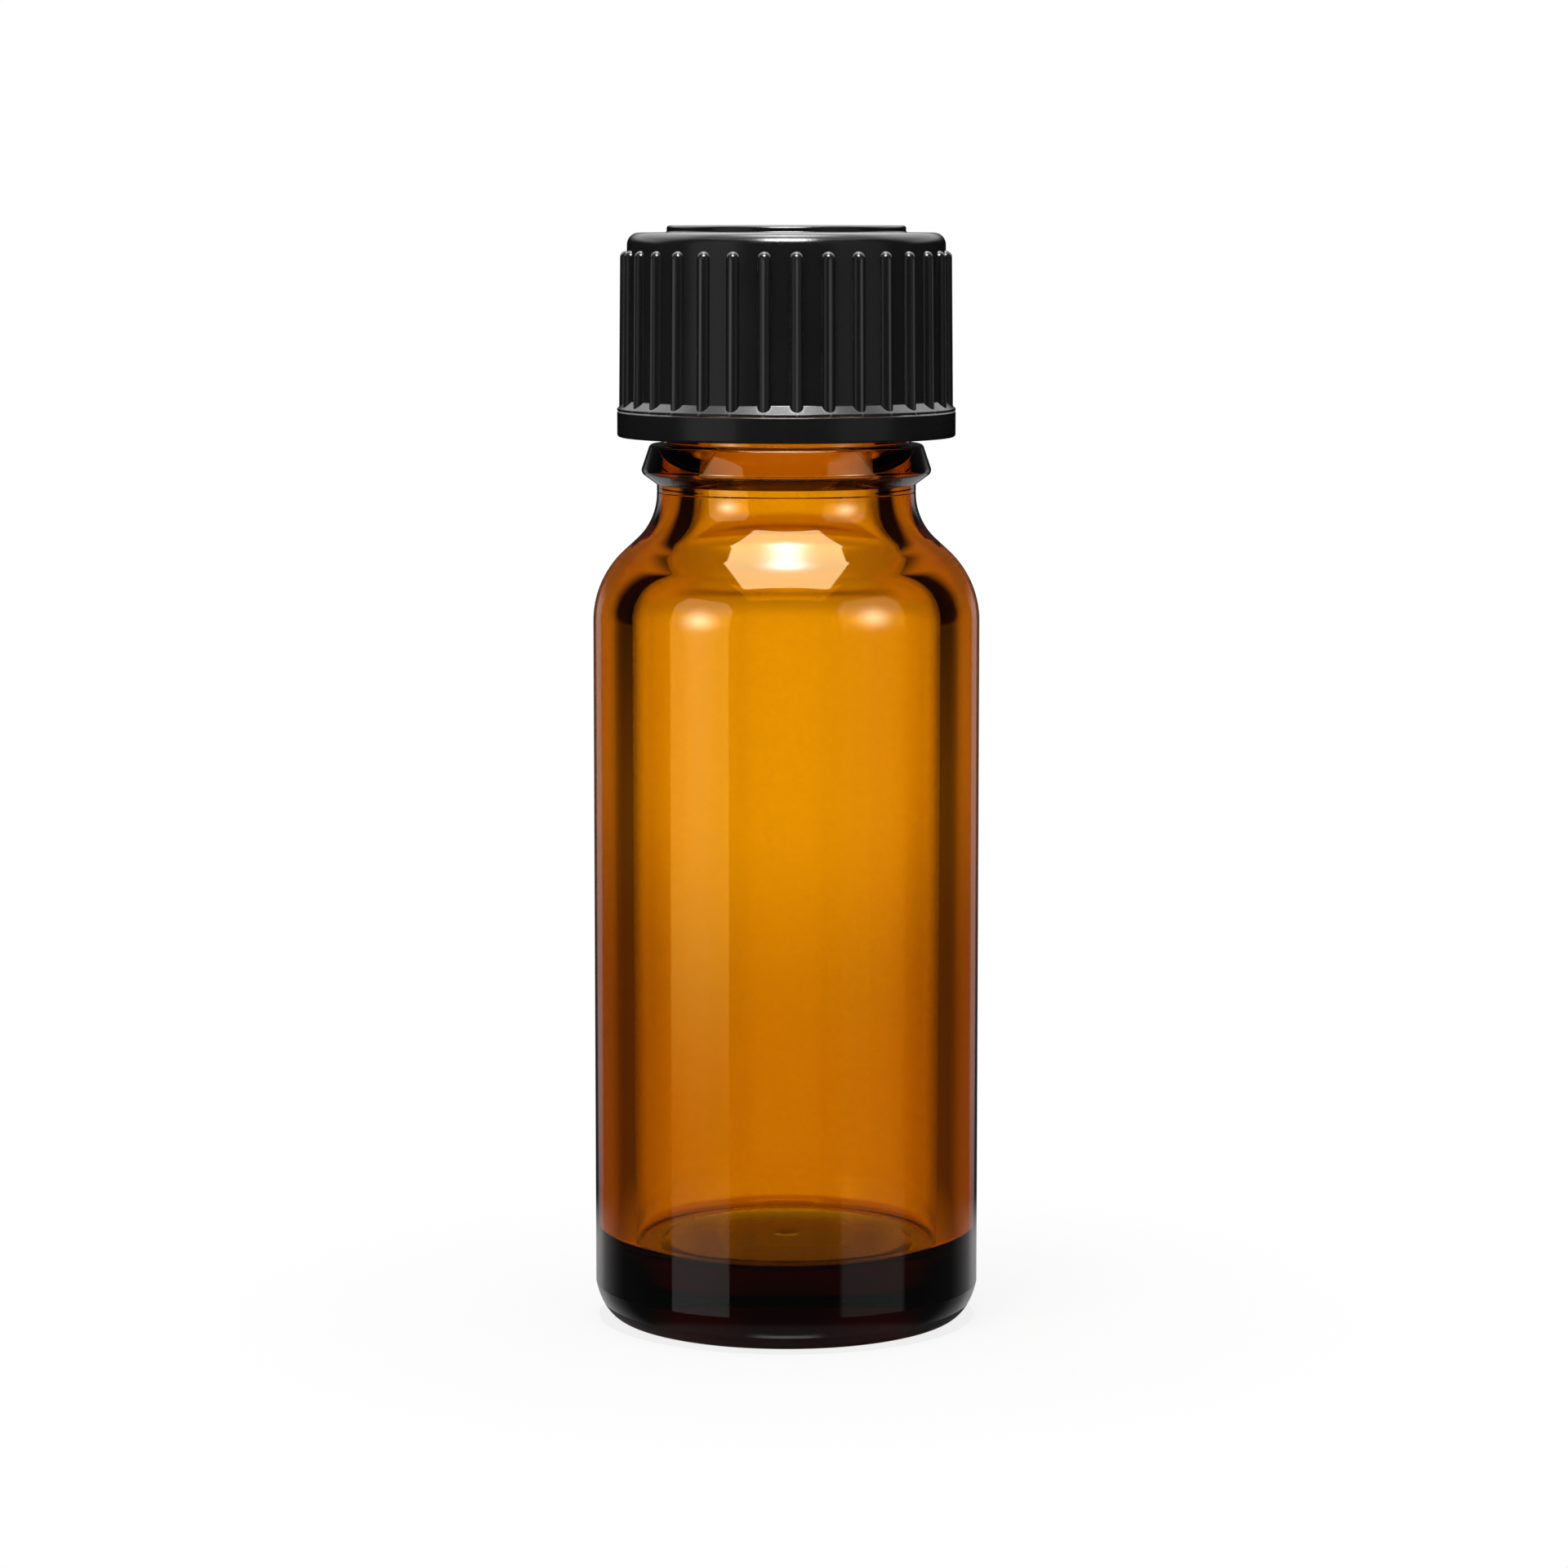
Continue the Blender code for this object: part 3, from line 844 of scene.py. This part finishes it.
# Green and blue are shares of the red: a mirrored box of a warm tone leaves the amber behind it pure.
# They and the softer low part fade with the height
warmRise = (-12.2, -11)
blueRise = (12, 20, 0, 0.35)
softboxes = {
    "left": {
        "Azimuth": -53.5, "Elevation": 3.5, "Width": 0.348, "Height": 0.54, "Corner": 1.7,
        "Hot Rise": 0.11, "Hot Size": 0.15,
        "level": 2.5, "hot": 12.0, "green": 0.66, "blue": 0.1, "hotBlue": 0.7,
        "low": 0.165, "lowEnd": -11, "lowStart": -8,
    },
    "right": {
        "Azimuth": 54, "Elevation": 3.5, "Width": 0.354, "Height": 0.54, "Corner": 1.7, "Edge": 0.2,
        "Hot Rise": 0.18, "Hot Size": 0.15,
        "level": 1.8, "hot": 10.0, "green": 0.66, "blue": 0.1, "hotBlue": 0.7,
        "low": 0.13, "lowEnd": -6, "lowStart": 12,
    },
    "top": {
        "Azimuth": 0, "Elevation": 76, "Width": 0.42, "Height": 0.4, "Corner": 1.9,
        "Hot Rise": 0.17, "Hot Size": 0.13,
        "level": 11.0, "hot": 20.0, "green": 0.76, "blue": 0.38, "hotBlue": 1.1,
    },
    "under": {
        "Azimuth": 0, "Elevation": -77, "Width": 0.15, "Height": 0.12, "Corner": 1.9, "Edge": 1.2,
        "Hot Size": 0.2, "level": 0.4, "hot": 1.6,
    },
}
for side, azimuth in (("rimLeft", -152), ("rimRight", 152)):
    softboxes[side] = {
        "Azimuth": azimuth, "Elevation": -9, "Width": 0.07, "Height": 0.14, "Corner": 1.9, "Edge": 1.2,
        "Hot Rise": 0.18, "Hot Size": 0.12, "level": 0.27, "hot": 0.15,
        "low": 0.35, "lowEnd": -12.5, "lowStart": -10,
    }

# The plastic was lit apart from the glass: only rough gloss sees these
plasticBoxes = {
    "left": {
        "Azimuth": -53.5, "Elevation": 3.5, "Width": 0.348, "Height": 0.54, "Corner": 1.7, "level": 0.36,
    },
    "right": {
        "Azimuth": 54, "Elevation": 3.5, "Width": 0.354, "Height": 0.54, "Corner": 1.7, "Edge": 0.2,
        "level": 0.18,
    },
    "crown": {
        "Azimuth": 0, "Elevation": 54, "Width": 0.2, "Height": 0.2, "Corner": 1.8, "Edge": 0.4,
        "level": 34.0,
    },
    "ledge": {
        "Azimuth": 180, "Elevation": 79, "Width": 0.6, "Height": 0.6, "Corner": 1.8, "Edge": 1.0,
        "Hot Size": 0.2, "level": 1.3, "hot": 18.0,
    },
}
for side, azimuth in (("backLeft", -145), ("backRight", 145)):
    plasticBoxes[side] = {
        "Azimuth": azimuth, "Elevation": 36, "Width": 0.5, "Height": 0.25, "Corner": 1.9, "Edge": 1.0,
        "level": 1.3,
    }


def makeSoftbox():
    # A flat eight-sided light with a hot middle, seen in a direction
    group, given, result = newGroup(
        "softbox",
        [
            ("Direction", "NodeSocketVector", None),
            ("Azimuth", "NodeSocketFloat", 0.0),
            ("Elevation", "NodeSocketFloat", 0.0),
            ("Width", "NodeSocketFloat", 0.3),
            ("Height", "NodeSocketFloat", 0.3),
            ("Corner", "NodeSocketFloat", 1.5),
            ("Edge", "NodeSocketFloat", 0.03),
            ("Hot Rise", "NodeSocketFloat", 0.0),
            ("Hot Size", "NodeSocketFloat", 0.2),
        ],
        [("Panel", "NodeSocketFloat"), ("Hot", "NodeSocketFloat")],
    )
    turned = node(group, "ShaderNodeVectorRotate", -700, 0, rotation_type="Z_AXIS")
    feed(group, turned.inputs["Vector"], given.outputs["Direction"])
    back = calc(group, "MULTIPLY", given.outputs["Azimuth"], -pi / 180)
    feed(group, turned.inputs["Angle"], back)
    tilted = node(group, "ShaderNodeVectorRotate", -500, 0, rotation_type="X_AXIS")
    feed(group, tilted.inputs["Vector"], turned.outputs[0])
    feed(group, tilted.inputs["Angle"], calc(group, "MULTIPLY", given.outputs["Elevation"], pi / 180))
    split = node(group, "ShaderNodeSeparateXYZ", -300, 0)
    feed(group, split.inputs[0], tilted.outputs[0])
    ahead = calc(group, "MULTIPLY", split.outputs["Y"], -1.0)
    safe = calc(group, "MAXIMUM", ahead, 0.01)
    across = calc(group, "DIVIDE", split.outputs["X"], safe)
    up = calc(group, "DIVIDE", split.outputs["Z"], safe)
    wide = calc(group, "DIVIDE", calc(group, "ABSOLUTE", across), given.outputs["Width"])
    high = calc(group, "DIVIDE", calc(group, "ABSOLUTE", up), given.outputs["Height"])
    cut = calc(group, "DIVIDE", calc(group, "ADD", wide, high), given.outputs["Corner"])
    reach = calc(group, "MAXIMUM", calc(group, "MAXIMUM", wide, high), cut)
    outer = calc(group, "ADD", given.outputs["Edge"], 1.0)
    facing = calc(group, "GREATER_THAN", ahead, 0.0)
    panel = calc(group, "MULTIPLY", ease(group, reach, 1.0, outer, 1.0, 0.0), facing)
    feed(group, result.inputs["Panel"], panel)
    offset = calc(group, "SUBTRACT", up, given.outputs["Hot Rise"])
    distance = calc(group, "ADD", calc(group, "POWER", offset, 2.0), calc(group, "POWER", across, 2.0))
    size = calc(group, "POWER", given.outputs["Hot Size"], 2.0)
    glow = calc(group, "EXPONENT", calc(group, "DIVIDE", calc(group, "MULTIPLY", distance, -1.0), size))
    feed(group, result.inputs["Hot"], calc(group, "MULTIPLY", glow, panel))
    return group


def addBoxes(tree, softbox, direction, height, boxes):
    # The red, green and blue of their light
    red = green = blue = 0.0
    for name, values in boxes.items():
        box = node(tree, "ShaderNodeGroup", -900, 0, node_tree=softbox, label=name)
        feed(tree, box.inputs["Direction"], direction)
        for label, value in values.items():
            if label in box.inputs:
                box.inputs[label].default_value = value
        level = calc(tree, "MULTIPLY", box.outputs["Panel"], values["level"])
        if "low" in values:
            dim = ease(tree, height, values["lowEnd"], values["lowStart"], values["low"], 1)
            level = calc(tree, "MULTIPLY", level, dim)
        greenShare = ease(tree, height, *warmRise, 1, values.get("green", 1))
        blueShare = ease(tree, height, *warmRise, 1, values.get("blue", 1))
        blueShare = calc(tree, "MAXIMUM", blueShare, ease(tree, height, *blueRise))
        red = calc(tree, "ADD", level, red)
        green = calc(tree, "MULTIPLY_ADD", level, greenShare, green)
        blue = calc(tree, "MULTIPLY_ADD", level, blueShare, blue)
        if "hot" in values:
            hot = calc(tree, "MULTIPLY", box.outputs["Hot"], values["hot"])
            red = calc(tree, "ADD", hot, red)
            green = calc(tree, "ADD", hot, green)
            blue = calc(tree, "MULTIPLY_ADD", hot, values.get("hotBlue", 1.0), blue)
    return red, green, blue


def makeBacklight(tree, height, fromBehind):
    # Brightest just under the horizon, narrower the higher it is, with dark gaps between it and the sides
    s = studio
    level = s["backlight"]
    for step in s["levelSteps"]:
        level = calc(tree, "MULTIPLY", ease(tree, height, *step), level)
    flanks = ease(tree, fromBehind, *s["flanks"])
    level = calc(tree, "MULTIPLY", ease(tree, height, *s["flankRise"], 1, flanks), level)
    start = calc(tree, "ADD", *(ease(tree, height, *step) for step in s["edgeStarts"]))
    end = ease(tree, height, *s["edgeEnd"])
    behind = ease(tree, fromBehind, start, end, 1, ease(tree, height, *s["edgeRest"]))
    sides = calc(tree, "MULTIPLY", *(ease(tree, fromBehind, *step) for step in s["sideWalls"]))
    around = calc(tree, "MAXIMUM", sides, ease(tree, fromBehind, *s["frontWall"]))
    around = calc(tree, "MAXIMUM", behind, around)
    around = calc(tree, "MAXIMUM", around, ease(tree, height, *s["tableWall"]))
    glow = calc(tree, "MULTIPLY", around, level)
    green = glow
    for step in s["greenSteps"]:
        green = calc(tree, "MULTIPLY", green, ease(tree, height, *step))
    return glow, green


def makeWorld():
    world = bpy.data.worlds.new("studio")
    bpy.context.scene.world = world
    world.use_nodes = True
    tree = world.node_tree
    s = studio
    direction = node(tree, "ShaderNodeTexCoord", -1600, 0).outputs["Generated"]
    split = node(tree, "ShaderNodeSeparateXYZ", -1400, 0)
    feed(tree, split.inputs[0], direction)
    height = calc(tree, "MULTIPLY", calc(tree, "ARCSINE", split.outputs["Z"]), 180 / pi)
    sideways = calc(tree, "ABSOLUTE", split.outputs["X"])
    fromBehind = calc(tree, "MULTIPLY", calc(tree, "ARCTAN2", sideways, split.outputs["Y"]), 180 / pi)

    # What the glass mirrors: its softboxes, a dark room, the table, and a grey sheen from low behind
    softbox = makeSoftbox()
    red, green, blue = addBoxes(tree, softbox, direction, height, softboxes)
    plain = calc(tree, "ADD", ease(tree, height, *s["tableTop"], s["tableGlow"], 0), s["dark"])
    sheen = ease(tree, fromBehind, *s["sheenTurn"], s["sheen"], s["sheenFar"])
    sheen = calc(tree, "MULTIPLY", sheen, ease(tree, height, *s["sheenRise"]))
    plain = calc(tree, "ADD", plain, sheen)
    mirrored = joinColour(tree, *(calc(tree, "ADD", boxes, plain) for boxes in (red, green, blue)))

    # What shines through the glass
    glow, greenGlow = makeBacklight(tree, height, fromBehind)
    refracted = joinColour(tree, *(calc(tree, "ADD", given, red) for given in (glow, greenGlow, greenGlow)))

    ray = node(tree, "ShaderNodeLightPath", -400, 400)
    shown = (s["plain"], s["plain"], s["plain"], 1)
    for kind, value in (
        ("Is Glossy Ray", addBoxes(tree, softbox, direction, height, plasticBoxes)[0]),
        ("Is Singular Ray", mirrored),
        ("Is Transmission Ray", refracted),
        ("Is Camera Ray", (1, 1, 1, 1)),
    ):
        shown = mixColours(tree, ray.outputs[kind], shown, value)
    feed(tree, tree.nodes["Background"].inputs["Color"], shown)
    world.cycles.sampling_method = "NONE"


# Floor: pale, white to the camera, with the shadow near the bottle, and a painted shadow of dark grey right
# under it
floor = {
    "size": 3.0,
    "colour": (0.96, 0.96, 0.96, 1),
    "shadowShare": 0.15,
    "shadowNear": 0.013,
    "shadowFar": 0.05,
    "solid": 0.0128,  # metres round the middle where rays from the glass meet it
    # Painted shadow: the colour of the floor under the bottle
    "paintedShadowColour": (0.2, 0.2, 0.2, 1),
}


def makeFloor():
    bpy.ops.object.select_all(action="DESELECT")
    bpy.ops.mesh.primitive_plane_add(size=floor["size"])
    ground = bpy.context.object
    ground.name = "floor"
    made = bpy.data.materials.new("floorWhite")
    made.use_nodes = True
    tree = made.node_tree
    tree.nodes.remove(tree.nodes["Principled BSDF"])
    where = node(tree, "ShaderNodeTexCoord", -900, 0).outputs["Object"]
    length = node(tree, "ShaderNodeVectorMath", -700, 0, operation="LENGTH")
    feed(tree, length.inputs[0], where)
    matt = node(tree, "ShaderNodeBsdfDiffuse", -300, 0)
    inside = calc(tree, "LESS_THAN", length.outputs["Value"], floor["solid"])
    # Within that radius the floor is painted dark grey, a painted shadow under the bottle
    feed(tree, matt.inputs["Color"], mixColours(tree, inside, floor["colour"], floor["paintedShadowColour"]))
    white = node(tree, "ShaderNodeEmission", -300, -200)
    clear = node(tree, "ShaderNodeBsdfTransparent", -300, 200)
    ray = node(tree, "ShaderNodeLightPath", -700, 400)
    fromBelow = node(tree, "ShaderNodeNewGeometry", -700, -300).outputs["Backfacing"]
    shadow = (floor["shadowNear"], floor["shadowFar"], floor["shadowShare"], 0.0)
    fade = ease(tree, length.outputs["Value"], *shadow)
    whiteShare = calc(tree, "MULTIPLY", calc(tree, "SUBTRACT", 1.0, fade), ray.outputs["Is Camera Ray"])
    lit = node(tree, "ShaderNodeMixShader", -100, 0)
    feed(tree, lit.inputs[0], whiteShare)
    feed(tree, lit.inputs[1], matt.outputs[0])
    feed(tree, lit.inputs[2], white.outputs[0])
    passes = calc(tree, "MAXIMUM", ray.outputs["Is Glossy Ray"], ray.outputs["Is Transmission Ray"])
    passes = calc(tree, "MULTIPLY", passes, calc(tree, "SUBTRACT", 1.0, inside))
    through = node(tree, "ShaderNodeMixShader", 100, 0)
    feed(tree, through.inputs[0], calc(tree, "MAXIMUM", passes, fromBelow))
    feed(tree, through.inputs[1], lit.outputs[0])
    feed(tree, through.inputs[2], clear.outputs[0])
    feed(tree, tree.nodes["Material Output"].inputs["Surface"], through.outputs[0])
    ground.data.materials.append(made)


# One large soft lamp above the camera's left
lamp = {"place": (-0.3, -0.45, 0.55), "aim": (0, 0, 0.035), "size": 0.35, "power": 1.6}


def makeLamp():
    bpy.ops.object.light_add(type="AREA", location=lamp["place"])
    made = bpy.context.object
    made.name = "softLamp"
    made.data.size = lamp["size"]
    made.data.energy = lamp["power"]
    aim = Vector(lamp["aim"]) - Vector(lamp["place"])
    made.rotation_euler = aim.to_track_quat("-Z", "Y").to_euler()
    made.visible_glossy = made.visible_transmission = made.visible_camera = False


camera = {"place": (-0.00016, -0.3318, 0.07481), "pitch": 83.395, "lens": 113.35}


def makeCamera():
    bpy.ops.object.camera_add(location=camera["place"], rotation=(radians(camera["pitch"]), 0, 0))
    made = bpy.context.object
    made.name = "photoView"
    made.data.lens = camera["lens"]
    bpy.context.scene.camera = made


print("setting up the studio")
makeWorld()
makeFloor()
makeLamp()
makeCamera()
bpy.context.scene.view_settings.view_transform = "Standard"
